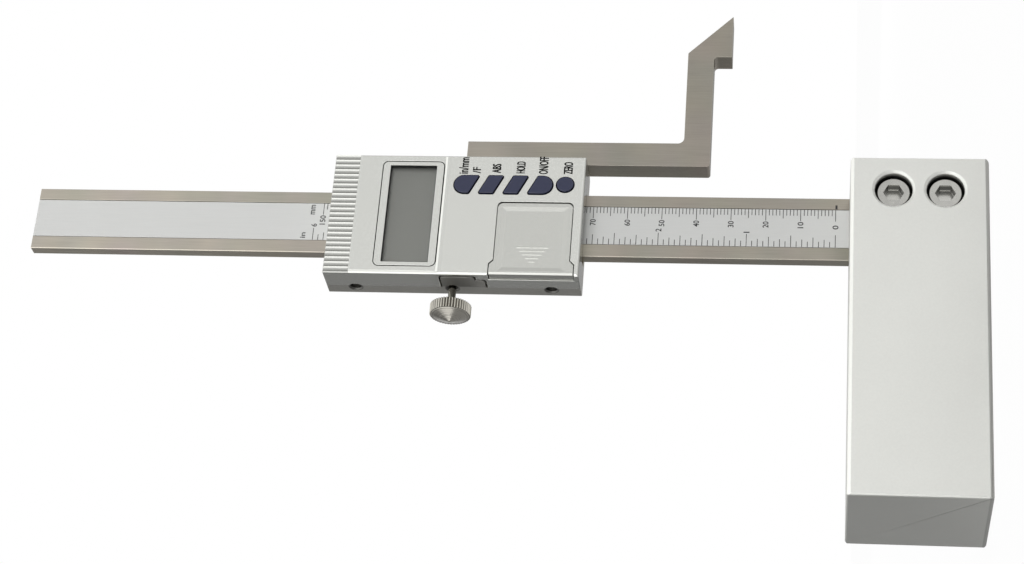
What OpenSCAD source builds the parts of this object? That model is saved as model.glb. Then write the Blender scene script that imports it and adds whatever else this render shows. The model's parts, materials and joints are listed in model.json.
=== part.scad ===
// Digital height gauge standing on its base block.
// X runs along the block towards the measuring arm, Y runs from the display side to the back,
// Z runs up the beam. The origin is on the foot, under the middle of the beam's section.
// All sizes are in millimetres.

/* [Base block] */
// Length of the block along the surface it stands on
block_len = 102; // [90:1:130]
// Depth of the block from its front face to its back face
block_depth = 35.6; // [34:0.1:45]
// Height of the block
block_h = 38.1; // [36:0.1:39]
// Metal between the block's front face and the beam
front_cheek = 23.3; // [22:0.1:24]
// Chamfer along the block's long edges
block_chamfer = 1; // [0.5:0.1:2]
// Chamfer round the block's two ends
end_chamfer = 0.4; // [0.2:0.1:0.8]
// Radius of the foot's corner beside the beam
foot_corner_r = 1.3; // [1:0.1:3]
// Length of the foot pad beside the beam
foot_pad_len = 21.1; // [16:0.1:30]
// Length of the bevel milled along the foot's front edge
bevel_len = 50; // [20:1:60]
// Height of that bevel on the front face
bevel_h = 0.8; // [0.3:0.1:1.5]
// Depth of that bevel on the foot
bevel_depth = 1.2; // [0.5:0.1:3]

/* [Clamp screws] */
// Thread diameter of the two screws that clamp the beam
clamp_d = 6; // [5:0.5:7]
// Length of a clamp screw under its head
clamp_len = 25; // [22:0.5:25.5]
// Diameter of its head
clamp_head_d = 9.7; // [9:0.1:11]
// Height of its head
clamp_head_h = 6; // [5:0.25:6.5]
// Width across the flats of its hexagon socket
clamp_socket_af = 5; // [4:0.5:6]
// Depth of its socket
clamp_socket_depth = 3; // [2:0.5:4]
// Distance between the two screws
clamp_pitch = 14.25; // [12:0.25:16]
// Depth of the heads below the block's front face
clamp_sunk = 2.3; // [1:0.1:3.5]
// Shift of the screws from the beam's middle towards the block's end
clamp_shift = 0.4; // [0:0.1:1]

/* [Beam] */
// Width of the beam
beam_w = 20.2; // [18:0.1:21]
// Thickness of the beam
beam_t = 3.7; // [3:0.1:3.7]
// Height of the beam's top end above the foot
beam_top = 279.3; // [272:0.1:320]
// Height of the beam's lower end above the foot
beam_seat = 4; // [2:0.5:6]
// Chamfer along the beam's edges
beam_chamfer = 0.15; // [0.1:0.05:0.5]
// Width of the scale plate in the beam's recess
plate_w = 12.6; // [10:0.2:14]
// Shift of the plate's middle towards the arm
plate_shift = 0.2; // [0:0.05:0.4]
// Thickness of the scale plate
plate_t = 0.6; // [0.3:0.1:1]
// Depth of the plate's face below the beam's rails
plate_sunk = 0.15; // [0.05:0.05:0.3]
// Height of the plate's lower end above the foot
plate_low = 33.5; // [31:0.5:35]

/* [Head] */
// Height of the measuring face above the foot, as the gauge is set
reading = 73.4; // [5:0.2:140]
// Height of the cover's lower end above the measuring face
face_to_cover = 40.9; // [40:0.1:44]
// Width of the head across the beam
head_w = 39.2; // [38.6:0.2:40.4]
// Shift of the head's middle towards the gib side
head_shift = 0.7; // [0.5:0.1:0.9]
// Length of the front cover along the beam
head_len = 74.3; // [73.9:0.1:80]
// Distance from the beam's middle to the head's back face
frame_back = 4.25; // [4:0.05:6]
// Distance from the beam's middle forward to the seam between frame and cover
seam_front = 0.9; // [0.6:0.1:1.1]
// Distance from the beam's middle forward to the seat of the circuit board
board_front = 1.95; // [1.9:0.05:2.2]
// Distance from the beam's middle forward to the cover's face round the buttons
cover_front = 9.25; // [9.1:0.05:10]
// Running gap between the beam and the frame
slide_gap = 0.1; // [0.05:0.01:0.15]

/* [Gib and lock] */
// Thickness of the gib strip
gib_t = 1.5; // [1:0.1:2]
// Width of the gib strip
gib_w = 3.3; // [2.5:0.1:3.4]
// Distance from the head's ends to the ends of the gib strip
gib_end = 0.6; // [0.2:0.1:3]
// Play left behind the gib for its adjustment
gib_play = 0.2; // [0.1:0.05:0.3]
// Distance from the head's ends to the gib screws
gib_screw_end = 8.5; // [7:0.1:12]
// Thread diameter of the gib and lock screws
lock_d = 3; // [2.5:0.1:3.2]
// Height of the lock screw above the cover's lower end
lock_rise = 37.35; // [36.5:0.05:38]
// Length of a gib screw
gib_screw_len = 7.5; // [3:0.5:8]
// Diameter of the lock screw's bare neck
neck_d = 2.25; // [1.8:0.05:2.4]
// Gap between the head's side and the knob
knob_gap = 5.7; // [3:0.1:9]
// Diameter of the knob
knob_d = 12; // [9:0.1:15]
// Length of the knob's knurled rim
knob_rim = 3.1; // [2:0.1:5]
// Height of the knob's cone
knob_cone = 2; // [1:0.1:3]
// Gap between the lock shoe and the gib when the screw is loose
lock_free = 0.25; // [0.2:0.01:0.3]

/* [Measuring arm] */
// Thickness of the arm
arm_t = 6.7; // [6:0.1:7]
// Distance from the beam's middle forward to the arm's front face
arm_front = 3.75; // [3.5:0.05:4]
// Width of the arm's bar and leg
arm_w = 7.8; // [7:0.1:9]
// Reach of the tip's apex from the beam's middle
arm_reach = 71.5; // [60:0.5:90]
// Length of the measuring face
face_len = 14.4; // [10:0.2:18]
// Depth of the nib below the leg
nib_drop = 5.3; // [3:0.1:8]
// Height of the arm's top end above the measuring face
arm_rise = 77.1; // [75:0.1:85]
// Fillet where the bar meets the leg
arm_fillet = 1.9; // [0.8:0.1:3]
// Fillet where the nib meets the leg
nib_fillet = 1.2; // [0.6:0.1:2]
// Radius of the arm's outer corner
arm_corner_r = 0.8; // [0.3:0.1:2]

/* [Front cover] */
// Wall thickness of the cover
cover_wall = 1.2; // [1:0.1:1.3]
// Radius of the cover's front edges
cover_round = 0.6; // [0.3:0.1:0.9]
// Height of the display field above the field with the buttons
display_raise = 0.4; // [0.2:0.1:0.6]
// Depth of the ribs' crests below the field with the buttons
rib_sink = 0.4; // [0.1:0.1:0.5]
// Length of the ribbed grip
rib_len = 7.6; // [5:0.2:10]
// Number of grooves in the grip
groove_count = 24; // [12:1:26]
// Depth of a groove
groove_depth = 0.4; // [0.2:0.1:0.5]

/* [Display] */
// Width of the bezel across the beam
bezel_w = 34.4; // [33:0.1:35]
// Length of the bezel along the beam
bezel_len = 17.95; // [17:0.05:18.5]
// Shift of the display's middle towards the gib side
display_shift = 0.85; // [0.7:0.05:1]
// Height of the bezel above the cover's lower end
bezel_rise = 41.6; // [41.5:0.1:43]
// Border of the bezel at its two long sides
bezel_side = 2.1; // [1.8:0.1:3]
// Border of the bezel at its two short sides
bezel_end = 1.2; // [0.8:0.1:2]
// Thickness of the bezel
bezel_t = 1.3; // [1:0.1:1.4]
// Outer corner radius of the bezel
bezel_r = 1.5; // [0.5:0.1:3]

/* [Buttons] */
// Height of a button across the beam
key_h = 5.85; // [5:0.05:7]
// Width of a button along the beam
key_w = 4.25; // [3.5:0.05:5]
// Gap between two buttons
key_gap = 2.95; // [2.5:0.05:3.1]
// Length of the first and last slanted buttons over their round ends
end_key_len = 7.15; // [6.8:0.05:7.3]
// Lean of the slanted sides
key_lean = 2.85; // [1.5:0.05:3.3]
// Distance of the buttons' middle from the beam's middle
key_side = 9.15; // [8.8:0.05:10]
// Height of the first slanted side above the cover's lower end
key_start = 33.85; // [33.65:0.05:34.2]
// Diameter of the round button
round_key_d = 4.85; // [4:0.05:4.9]
// Height of the round button above the cover's lower end
round_key_rise = 5.65; // [5.4:0.05:5.7]
// Radius of the slanted buttons' corners
key_r = 0.35; // [0.2:0.05:0.6]
// Height of the buttons above the cover's face
key_proud = 0.45; // [0.42:0.01:0.8]
// Travel of a button
key_travel = 0.4; // [0.2:0.05:0.4]

/* [Battery] */
// Width of the battery lid along the beam
lid_w = 21.8; // [21:0.1:22.4]
// Height of the lid's middle above the cover's lower end
lid_rise = 13.8; // [13.5:0.1:14.2]
// Distance of the lid's inner edge from the beam's middle
lid_edge = 3.1; // [3.1:0.1:3.6]
// Width that the lid gains at each side where it wraps over the edge
lid_ear = 1.25; // [0.5:0.05:1.25]
// Length of those ears
lid_ear_len = 3.3; // [2:0.1:4]
// Height of the lid's lip down the head's side
lid_lip = 3.35; // [2:0.05:3.6]
// Diameter of the coin cell
cell_d = 20; // [18:0.1:20]
// Height of the coin cell
cell_h = 3.2; // [2.5:0.1:3.2]

/* [Hidden] */
$fn = 64;

// General clearances
cut = 1;
fit_gap = 0.05;
run_gap = 0.05;
shut_gap = 0.15;
hole_gap = 0.3;
edge_chamfer = 0.3;

// Base block
block_over = 0.3;
block_x = [beam_w / 2 + block_over - block_len, beam_w / 2 + block_over];
block_y = [-beam_t / 2 - front_cheek, block_depth - beam_t / 2 - front_cheek];
block_z = [0, block_h];
bevel_x = [block_x[1] - foot_pad_len - bevel_len, block_x[1] - foot_pad_len];

// Recess for the scale plate
recess_x = [plate_shift - plate_w / 2, plate_shift + plate_w / 2];
plate_gap = 0.15;

// Clamp screws
clamp_z = [block_h / 2 - clamp_pitch / 2, block_h / 2 + clamp_pitch / 2];
clamp_head_y = block_y[0] + clamp_sunk;
clamp_seat_y = clamp_head_y + clamp_head_h;
clamp_head_chamfer = 0.45;
counterbore_gap = 0.4;
counterbore_d = clamp_head_d + 2 * counterbore_gap;
counterbore_chamfer = 0.7;
hex_corner_share = 2 / sqrt(3);

// Head, measured upwards from the cover's lower end
cover_z = [reading + face_to_cover, reading + face_to_cover + head_len];
head_x = [-head_w / 2 - head_shift, head_w / 2 - head_shift];
channel_x = [-beam_w / 2 - run_gap - gib_t - gib_play, beam_w / 2 + slide_gap];
channel_back = beam_t / 2 + slide_gap;
skirt_x = [head_x[0] + cover_wall, head_x[1] - cover_wall];
core_gap = 0.1;
core_x = [skirt_x[0] + core_gap, skirt_x[1] - core_gap];
core_z = [cover_z[0] + cover_wall + core_gap, cover_z[1] - cover_wall - core_gap];
frame_chamfer = 0.8;

// Lock boss of the frame and the cut in the cover that it fills
boss_high_rise = [29.9, 40.6];
boss_low_rise = [27, 31.9];
boss_high_front = 7.4;
boss_low_front = 5.4;
boss_r = 0.9;
boss_t = 3.2;
boss_gap = 0.45;
boss_x = [head_x[0], head_x[0] + boss_t];

// Arm pad of the frame
pad_rise = 6.7;
pad_t = 3.2;
pad_out = 0.3;
pad_x = [head_x[1] - pad_t, head_x[1] + pad_out];
arm_y = [-arm_front, arm_t - arm_front];
arm_x = [pad_x[1], pad_x[1] + arm_w];
arm_top_z = reading + arm_rise;

// Arm screws
arm_screw_d = 2.5;
arm_screw_len = 12;
arm_screw_head_d = 4.7;
arm_screw_end = 7;
arm_screw_pitch = 19;
arm_screw_back = 0.2;
arm_screw_y = (arm_y[0] + arm_y[1]) / 2 + arm_screw_back;
arm_screw_z = [arm_top_z - arm_screw_end - arm_screw_pitch, arm_top_z - arm_screw_end];

// Gib, its screws and the lock screw, which lie level with the beam's middle
gib_x = [-beam_w / 2 - run_gap - gib_t, -beam_w / 2 - run_gap];
gib_z = [cover_z[0] + gib_end, cover_z[1] - gib_end];
lock_z = cover_z[0] + lock_rise;
gib_screw_z = [cover_z[0] + gib_screw_end, cover_z[1] - gib_screw_end];
set_socket_af = 1.5;
set_socket_depth = 1.5;
set_slot_w = 0.6;
side_hole_chamfer = 0.4;
shoe_t = 1.4;
shoe_x = [gib_x[0] - lock_free - shoe_t, gib_x[0] - lock_free];
thread_end_x = head_x[0] + edge_chamfer + hole_gap;
knob_x = [head_x[0] - knob_gap - knob_rim, head_x[0] - knob_gap];
knurl_count = 44;
knurl_w = 0.55;
cone_tip_d = 0.6;

// Circuit board
board_t = 0.8;
board_x = [-14.5, 14.5];
board_y = [-board_front - board_t, -board_front];
board_z = [cover_z[0] + 2.5 * cover_wall, cover_z[1] - 2.5 * cover_wall];
board_screw_d = 1.6;
board_screw_head_d = 2.8;
board_screw_head_h = 1;
board_screw_len = 2.4;
board_screw_x = [-13.1, 12.9];
board_screw_low_rise = [31.2, 4.8];
board_screw_high_drop = 5;
chip_w = 8;
chip_t = 1;
chip_x = -4;
chip_rise = 31.7;

// Cover bosses and screws
cover_screw_d = 2;
cover_screw_head_d = 3.8;
cover_screw_len = 9;
cover_boss_d = 4;
cover_screw_in = [3, 2.2];
cover_screw_x = [head_x[0] + cover_screw_in[0], head_x[1] - cover_screw_in[1]];
cross_slot_w = 0.5;
cross_slot_depth = 0.3;
cover_screw_rise = 3.5;
cover_screw_z = [cover_z[0] + cover_screw_rise, cover_z[1] - cover_screw_rise];
cover_boss_low = 5.7;

// Front cover
ceiling = cover_front - cover_wall;
display_ceiling_drop = 0.45;
display_ceiling = ceiling - display_ceiling_drop;
display_front = cover_front + display_raise;
step_rise = [39.6, 40.7, 41.3];
step_foot_share = 0.25;
rib_rise = head_len - rib_len;
groove_pitch = head_w / (groove_count + 0.25);
groove_share = 0.94;
groove_w = groove_share * groove_pitch;
groove_r = (groove_w * groove_w / 4 + groove_depth * groove_depth) / (2 * groove_depth);
groove_start_share = 0.46;
rib_end_round = 0.3;
beam_way_gap = 0.3;

// Display
bezel_x = [-display_shift - bezel_w / 2, -display_shift + bezel_w / 2];
bezel_z = [cover_z[0] + bezel_rise, cover_z[0] + bezel_rise + bezel_len];
bezel_y = [-display_front, -display_front + bezel_t];
view_x = [bezel_x[0] + bezel_end, bezel_x[1] - bezel_end];
view_z = [bezel_z[0] + bezel_side, bezel_z[1] - bezel_side];
bezel_groove = 0.25;
window_lap = 0.7;
window_x = [view_x[0] - window_lap, view_x[1] + window_lap];
window_z = [view_z[0] - window_lap, view_z[1] + window_lap];
window_y = [bezel_y[1], -display_ceiling];
lcd_lap = 1;
lcd_t = 1.8;
lcd_x = [view_x[0] - lcd_lap, view_x[1] + lcd_lap];
lcd_z = [view_z[0] - lcd_lap, view_z[1] + lcd_lap];
lcd_y = [window_y[1], window_y[1] + lcd_t];
strip_w = 2;
strip_x = [board_screw_x[0] + board_screw_head_d / 2 + hole_gap,
  board_screw_x[1] - board_screw_head_d / 2 - hole_gap];
strip_y = [lcd_y[1], board_y[0]];

// Buttons
key_x = [key_side - key_h / 2, key_side + key_h / 2];
key_edges = [key_start,
  key_start - key_gap, key_start - key_gap - key_w,
  key_start - 2 * key_gap - key_w, key_start - 2 * key_gap - 2 * key_w,
  key_start - 3 * key_gap - 2 * key_w];
round_key_shift = 0.25;
round_key_x = key_side + round_key_shift;
key_hole_gap = 0.3;
key_flange = 0.6;
key_flange_t = 0.6;
key_flange_y = [-ceiling + fit_gap, -ceiling + fit_gap + key_flange_t];
key_stem_d = 2;
dome_d = 4;
dome_top_d = 2.4;
dome_t = 0.4;
dome_y = [board_y[0] - dome_t, board_y[0]];
stem_end_y = dome_y[0] - key_travel - fit_gap;
key_stem_in = 0.7;
key_stems = [[key_side, key_start + key_stem_in],
  [key_side, (key_edges[1] + key_edges[2] - key_lean) / 2],
  [key_side, (key_edges[3] + key_edges[4] - key_lean) / 2],
  [key_side, key_edges[5] - key_lean - key_stem_in],
  [round_key_x, round_key_rise]];

// Battery
lid_z = [cover_z[0] + lid_rise - lid_w / 2, cover_z[0] + lid_rise + lid_w / 2];
lid_mid_z = cover_z[0] + lid_rise;
lid_t = 1.2;
lid_r = 1.6;
lid_field_in = 1.2;
lid_field_bevel = 1.3;
lid_field_depth = 0.35;
lid_lip_in = 0.3;
lid_gap = 0.25;
lid_end_gap = 0.2;
arrow_count = 5;
arrow_x = -11.1;
arrow_len = 9.2;
arrow_line = 0.35;
arrow_t = 0.2;
arrow_slope_share = 1.25;
lid_rail = 0.8;
lid_rail_t = 0.6;
lid_rail_y = [-ceiling + fit_gap, -ceiling + fit_gap + lid_rail_t];
lid_lip_t = 1.1;
cell_gap = 0.2;
tray_wall = 1;
cell_x = skirt_x[0] + 2 * cell_gap + tray_wall + cell_d / 2;
tray_floor = 1.15;
cell_y = [board_y[0] - tray_floor - cell_h, board_y[0] - tray_floor];
contact_t = 0.2;
contact_w = 3;
contact_len = 4;

// Box between two X, two Y and two Z values
module slab(x, y, z) {
  translate([x[0], y[0], z[0]]) cube([x[1] - x[0], y[1] - y[0], z[1] - z[0]]);
}

// Cylinder along X at the place y, z
module rod_x(d, x, y, z) {
  translate([x[0], y, z]) rotate([0, 90, 0]) cylinder(d = d, h = x[1] - x[0]);
}

// Cylinder along Y at the place x, z
module rod_y(d, x, y, z) {
  translate([x, y[0], z]) rotate([-90, 0, 0]) cylinder(d = d, h = y[1] - y[0]);
}

// Outline in X and Z, extruded from y[0] to y[1]
module plate_y(y) {
  translate([0, y[1], 0]) rotate([90, 0, 0]) linear_extrude(y[1] - y[0]) children();
}

// Outline in Y and Z, extruded from x[0] to x[1]
module plate_x(x) {
  translate([x[0], 0, 0]) rotate([90, 0, 90]) linear_extrude(x[1] - x[0]) children();
}

// Outline in X and Y, extruded from z[0] to z[1]
module plate_z(z) {
  translate([0, 0, z[0]]) linear_extrude(z[1] - z[0]) children();
}

// Rectangle with chamfered corners
module chamfered(u, v, c) {
  polygon([[u[0] + c, v[0]], [u[1] - c, v[0]], [u[1], v[0] + c], [u[1], v[1] - c],
    [u[1] - c, v[1]], [u[0] + c, v[1]], [u[0], v[1] - c], [u[0], v[0] + c]]);
}

// Rectangle with round corners
module rounded(u, v, r) {
  translate([u[0] + r, v[0]]) square([u[1] - u[0] - 2 * r, v[1] - v[0]]);
  translate([u[0], v[0] + r]) square([u[1] - u[0], v[1] - v[0] - 2 * r]);
  for (a = [u[0] + r, u[1] - r], b = [v[0] + r, v[1] - r])
    translate([a, b]) circle(r);
}

// Plane fillet in the corner at u, v; su and sv point away from the corner
module corner_fill(u, v, su, sv, r) {
  translate([u, v]) scale([su, sv]) difference() {
    square(r);
    translate([r, r]) circle(r);
  }
}

module base_block() {
  color("gainsboro") difference() {
    intersection() {
      plate_x(block_x) chamfered(block_y, block_z, block_chamfer);
      plate_z(block_z) chamfered(block_x, block_y, end_chamfer);
      plate_y(block_y) difference() {
        chamfered(block_x, block_z, end_chamfer);
        corner_fill(block_x[1], block_z[0], -1, 1, foot_corner_r);
      }
    }
    slab([-beam_w / 2 - fit_gap, block_x[1] + cut],
      [-beam_t / 2 - fit_gap, beam_t / 2 + fit_gap], [beam_seat, block_h + cut]);
    plate_x(bevel_x) polygon([[block_y[0] - cut, -cut], [block_y[0] + bevel_depth, -cut],
      [block_y[0] + bevel_depth, 0], [block_y[0], bevel_h], [block_y[0] - cut, bevel_h]]);
    for (z = clamp_z) {
      rod_y(counterbore_d, clamp_shift, [block_y[0] - cut, clamp_seat_y], z);
      rod_y(clamp_d + 2 * hole_gap, clamp_shift, [clamp_seat_y - fit_gap, 0], z);
      rod_y(clamp_d + 2 * fit_gap, clamp_shift, [0, block_y[1] + cut], z);
      translate([clamp_shift, block_y[0], z]) rotate([-90, 0, 0])
        cylinder(d1 = counterbore_d + 2 * counterbore_chamfer, d2 = counterbore_d,
          h = counterbore_chamfer);
    }
  }
}

module base_screws() {
  color("silver") for (z = clamp_z) difference() {
    union() {
      translate([clamp_shift, clamp_head_y, z]) rotate([-90, 0, 0])
        cylinder(d1 = clamp_head_d - 2 * clamp_head_chamfer, d2 = clamp_head_d,
          h = clamp_head_chamfer);
      rod_y(clamp_head_d, clamp_shift, [clamp_head_y + clamp_head_chamfer, clamp_seat_y], z);
      rod_y(clamp_d, clamp_shift, [clamp_seat_y - fit_gap, clamp_seat_y + clamp_len], z);
    }
    translate([clamp_shift, clamp_head_y - cut, z]) rotate([-90, 30, 0])
      cylinder(d = clamp_socket_af * hex_corner_share, h = clamp_socket_depth + cut, $fn = 6);
  }
}

module beam() {
  color("rosybrown") difference() {
    plate_z([beam_seat, beam_top])
      chamfered([-beam_w / 2, beam_w / 2], [-beam_t / 2, beam_t / 2], beam_chamfer);
    slab(recess_x,
      [-beam_t / 2 - cut, -beam_t / 2 + plate_sunk + plate_t], [plate_low, beam_top + cut]);
    for (z = clamp_z)
      rod_y(clamp_d + 2 * hole_gap, clamp_shift, [-beam_t / 2 - cut, beam_t / 2 + cut], z);
  }
}

module scale_plate() {
  color("whitesmoke")
    slab([recess_x[0] + plate_gap, recess_x[1] - plate_gap],
      [-beam_t / 2 + plate_sunk, -beam_t / 2 + plate_sunk + plate_t], [plate_low, beam_top]);
}

// Outline of the lock boss in Y and Z
module boss_outline(grow) {
  rounded([-boss_high_front - grow, boss_r],
    [cover_z[0] + boss_high_rise[0] - grow, cover_z[0] + boss_high_rise[1] + grow], boss_r);
  rounded([-boss_low_front - grow, boss_r],
    [cover_z[0] + boss_low_rise[0] - grow, cover_z[0] + boss_low_rise[1]], boss_r);
}

// Hole for a screw in the head's side, with a countersunk mouth
module side_hole(end_x, z) {
  hole_d = lock_d + 2 * run_gap;
  rod_x(hole_d, [head_x[0] - cut, end_x], 0, z);
  translate([head_x[0], 0, z]) rotate([0, 90, 0])
    cylinder(d1 = hole_d + 2 * side_hole_chamfer, d2 = hole_d, h = side_hole_chamfer);
}

module slider_frame() {
  color("darkgray") difference() {
    union() {
      plate_z(cover_z) polygon([[head_x[0], -seam_front], [head_x[1], -seam_front],
        [head_x[1], frame_back - frame_chamfer], [head_x[1] - frame_chamfer, frame_back],
        [head_x[0] + frame_chamfer, frame_back], [head_x[0], frame_back - frame_chamfer]]);
      slab(core_x, [-board_front, 0], core_z);
      plate_x(boss_x) boss_outline(-boss_gap);
      slab(pad_x, arm_y, [cover_z[0] + pad_rise, arm_top_z]);
    }
    slab(channel_x, [-cover_front, channel_back], [cover_z[0] - cut, cover_z[1] + cut]);
    for (z = concat(gib_screw_z, lock_z)) side_hole(channel_x[0] + cut, z);
    for (z = arm_screw_z)
      rod_x(arm_screw_d + 2 * fit_gap, [arm_x[1] - arm_screw_len - hole_gap, head_x[1] + cut],
        arm_screw_y, z);
    for (x = cover_screw_x, z = cover_screw_z) {
      rod_y(cover_screw_d + 2 * fit_gap, x, [-cover_front, frame_back + cut], z);
      translate([x, frame_back, z]) rotate([90, 0, 0])
        cylinder(d1 = cover_screw_head_d + 2 * fit_gap, d2 = cover_screw_d + 2 * fit_gap,
          h = (cover_screw_head_d - cover_screw_d) / 2);
    }
    for (i = [0, 1]) {
      rod_y(board_screw_d, board_screw_x[i], [-board_front - cut, board_screw_len - board_front],
        cover_z[0] + board_screw_low_rise[i]);
      rod_y(board_screw_d, board_screw_x[i], [-board_front - cut, board_screw_len - board_front],
        cover_z[1] - board_screw_high_drop);
    }
  }
}

// Outline of the arm in X and Z, with Z counted from the measuring face
module arm_outline() {
  difference() {
    union() {
      polygon([[arm_x[0], nib_drop], [arm_reach - face_len, nib_drop], [arm_reach - face_len, 0],
        [arm_reach, 0], [arm_reach - nib_drop - arm_w, nib_drop + arm_w],
        [arm_x[1], nib_drop + arm_w], [arm_x[1], arm_rise], [arm_x[0], arm_rise]]);
      corner_fill(arm_x[1], nib_drop + arm_w, 1, 1, arm_fillet);
      corner_fill(arm_reach - face_len, nib_drop, -1, -1, nib_fillet);
    }
    corner_fill(arm_x[0], nib_drop, 1, 1, arm_corner_r);
  }
}

module measuring_arm() {
  color("rosybrown") difference() {
    translate([0, 0, reading]) plate_y(arm_y) arm_outline();
    for (z = arm_screw_z) {
      rod_x(arm_screw_d + 2 * fit_gap, [arm_x[0] - cut, arm_x[1] + cut], arm_screw_y, z);
      translate([arm_x[1], arm_screw_y, z]) rotate([0, -90, 0])
        cylinder(d1 = arm_screw_head_d + 2 * fit_gap, d2 = arm_screw_d + 2 * fit_gap,
          h = (arm_screw_head_d - arm_screw_d) / 2);
    }
  }
}

module arm_screws() {
  color("silver") for (z = arm_screw_z) difference() {
    union() {
      translate([arm_x[1], arm_screw_y, z]) rotate([0, -90, 0])
        cylinder(d1 = arm_screw_head_d, d2 = arm_screw_d,
          h = (arm_screw_head_d - arm_screw_d) / 2);
      rod_x(arm_screw_d, [arm_x[1] - arm_screw_len, arm_x[1] - fit_gap], arm_screw_y, z);
    }
    translate([arm_x[1] + cut, arm_screw_y, z]) rotate([0, -90, 0])
      cylinder(d = set_socket_af * hex_corner_share, h = set_socket_depth + cut, $fn = 6);
  }
}

module gib_strip() {
  color("goldenrod") slab(gib_x, [-gib_w / 2, gib_w / 2], gib_z);
}

module gib_screws() {
  color("dimgray") for (z = gib_screw_z) difference() {
    rod_x(lock_d, [gib_x[0] - gib_screw_len, gib_x[0]], 0, z);
    slab([gib_x[0] - gib_screw_len - cut, gib_x[0] - gib_screw_len + set_socket_depth],
      [-set_slot_w / 2, set_slot_w / 2], [z - lock_d, z + lock_d]);
  }
}

module lock_shoe() {
  color("goldenrod") rod_x(lock_d, shoe_x, 0, lock_z);
}

module lock_screw() {
  color("silver") {
    rod_x(lock_d, [thread_end_x, shoe_x[0]], 0, lock_z);
    rod_x(neck_d, [knob_x[1] - fit_gap, thread_end_x + fit_gap], 0, lock_z);
    difference() {
      rod_x(knob_d, knob_x, 0, lock_z);
      for (a = [0:360 / knurl_count:359])
        translate([0, 0, lock_z]) rotate([a, 0, 0])
          translate([knob_x[0] - cut, knob_d / 2, 0]) rotate([45, 0, 0])
            translate([0, -knurl_w / 2, -knurl_w / 2])
              cube([knob_rim + 2 * cut, knurl_w, knurl_w]);
    }
    translate([knob_x[0] - knob_cone, 0, lock_z]) rotate([0, 90, 0])
      cylinder(d1 = cone_tip_d, d2 = knob_d - 2 * knurl_w, h = knob_cone);
  }
}

module reader_board() {
  color("seagreen") difference() {
    slab(board_x, board_y, board_z);
    for (i = [0, 1], z = [cover_z[0] + board_screw_low_rise[i], cover_z[1] - board_screw_high_drop])
      rod_y(board_screw_d + 2 * fit_gap, board_screw_x[i], [board_y[0] - cut, board_y[1] + cut], z);
  }
}

module board_screws() {
  color("silver")
    for (i = [0, 1], z = [cover_z[0] + board_screw_low_rise[i], cover_z[1] - board_screw_high_drop]) {
      rod_y(board_screw_head_d, board_screw_x[i], [board_y[0] - board_screw_head_h, board_y[0]], z);
      rod_y(board_screw_d - 2 * fit_gap, board_screw_x[i],
        [board_y[0] - fit_gap, board_y[1] + board_screw_len - fit_gap], z);
    }
}

module control_chip() {
  color("black")
    slab([chip_x - chip_w / 2, chip_x + chip_w / 2], [board_y[0] - chip_t, board_y[0]],
      [cover_z[0] + chip_rise - chip_w / 2, cover_z[0] + chip_rise + chip_w / 2]);
}

module snap_domes() {
  color("lightgray") for (k = key_stems)
    translate([k[0], dome_y[0], cover_z[0] + k[1]]) rotate([-90, 0, 0])
      cylinder(d1 = dome_top_d, d2 = dome_d, h = dome_t);
}

module contact_strips() {
  color("gray") {
    slab(strip_x, strip_y, [view_z[0], view_z[0] + strip_w]);
    slab(strip_x, strip_y, [view_z[1] - strip_w, view_z[1]]);
  }
}

module lcd_panel() {
  color("slategray") slab(lcd_x, lcd_y, lcd_z);
}

module display_window() {
  color("lightcyan") slab(window_x, window_y, window_z);
}

module window_bezel() {
  color("silver") plate_y(bezel_y) difference() {
    rounded(bezel_x, bezel_z, bezel_r);
    translate([view_x[0], view_z[0]]) square([view_x[1] - view_x[0], view_z[1] - view_z[0]]);
  }
}

module battery_tray() {
  color("dimgray") difference() {
    rod_y(cell_d + 2 * cell_gap + 2 * tray_wall, cell_x, [cell_y[0] - fit_gap, board_y[0]],
      lid_mid_z);
    rod_y(cell_d + 2 * cell_gap, cell_x, [cell_y[0] - cut, cell_y[1]], lid_mid_z);
    slab([cell_x + cell_d / 2 - contact_t, cell_x + cell_d], [cell_y[0] - cut, board_y[0] + cut],
      [lid_mid_z - contact_w / 2 - fit_gap, lid_mid_z + contact_w / 2 + fit_gap]);
    slab([cell_x - contact_w / 2 - fit_gap, cell_x + contact_w / 2 + fit_gap],
      [cell_y[1] - cut, board_y[0] + cut],
      [lid_mid_z - contact_len - fit_gap, lid_mid_z + contact_len + fit_gap]);
  }
}

module coin_cell() {
  color("silver") {
    rod_y(cell_d - 2 * contact_t - 4 * cell_gap, cell_x, [cell_y[1] - contact_t, cell_y[1]],
      lid_mid_z);
    rod_y(cell_d, cell_x, [cell_y[0], cell_y[1] - contact_t], lid_mid_z);
  }
}

module positive_contact() {
  color("khaki") {
    slab([cell_x + cell_d / 2, cell_x + cell_d / 2 + contact_t], [cell_y[0], board_y[0]],
      [lid_mid_z - contact_w / 2, lid_mid_z + contact_w / 2]);
    slab([cell_x + cell_d / 2, cell_x + cell_d / 2 + contact_w / 2],
      [board_y[0] - contact_t, board_y[0]],
      [lid_mid_z - contact_w / 2, lid_mid_z + contact_w / 2]);
  }
}

module negative_contact() {
  contact_x = [cell_x - contact_w / 2, cell_x + contact_w / 2];
  color("khaki") {
    slab(contact_x, [board_y[0] - contact_t, board_y[0]],
      [lid_mid_z - contact_len, lid_mid_z]);
    slab(contact_x, [cell_y[1], board_y[0]], [lid_mid_z - contact_t, lid_mid_z]);
    slab(contact_x, [cell_y[1], cell_y[1] + contact_t], [lid_mid_z - contact_t, lid_mid_z + contact_len]);
  }
}

// Height at the place x of a slanted side that starts at the height e, set in by the distance d
function slant(x, e, d) = cover_z[0] + e - key_lean * (x - key_x[0]) / key_h
  - d * norm([key_lean, key_h]) / key_h;

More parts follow.
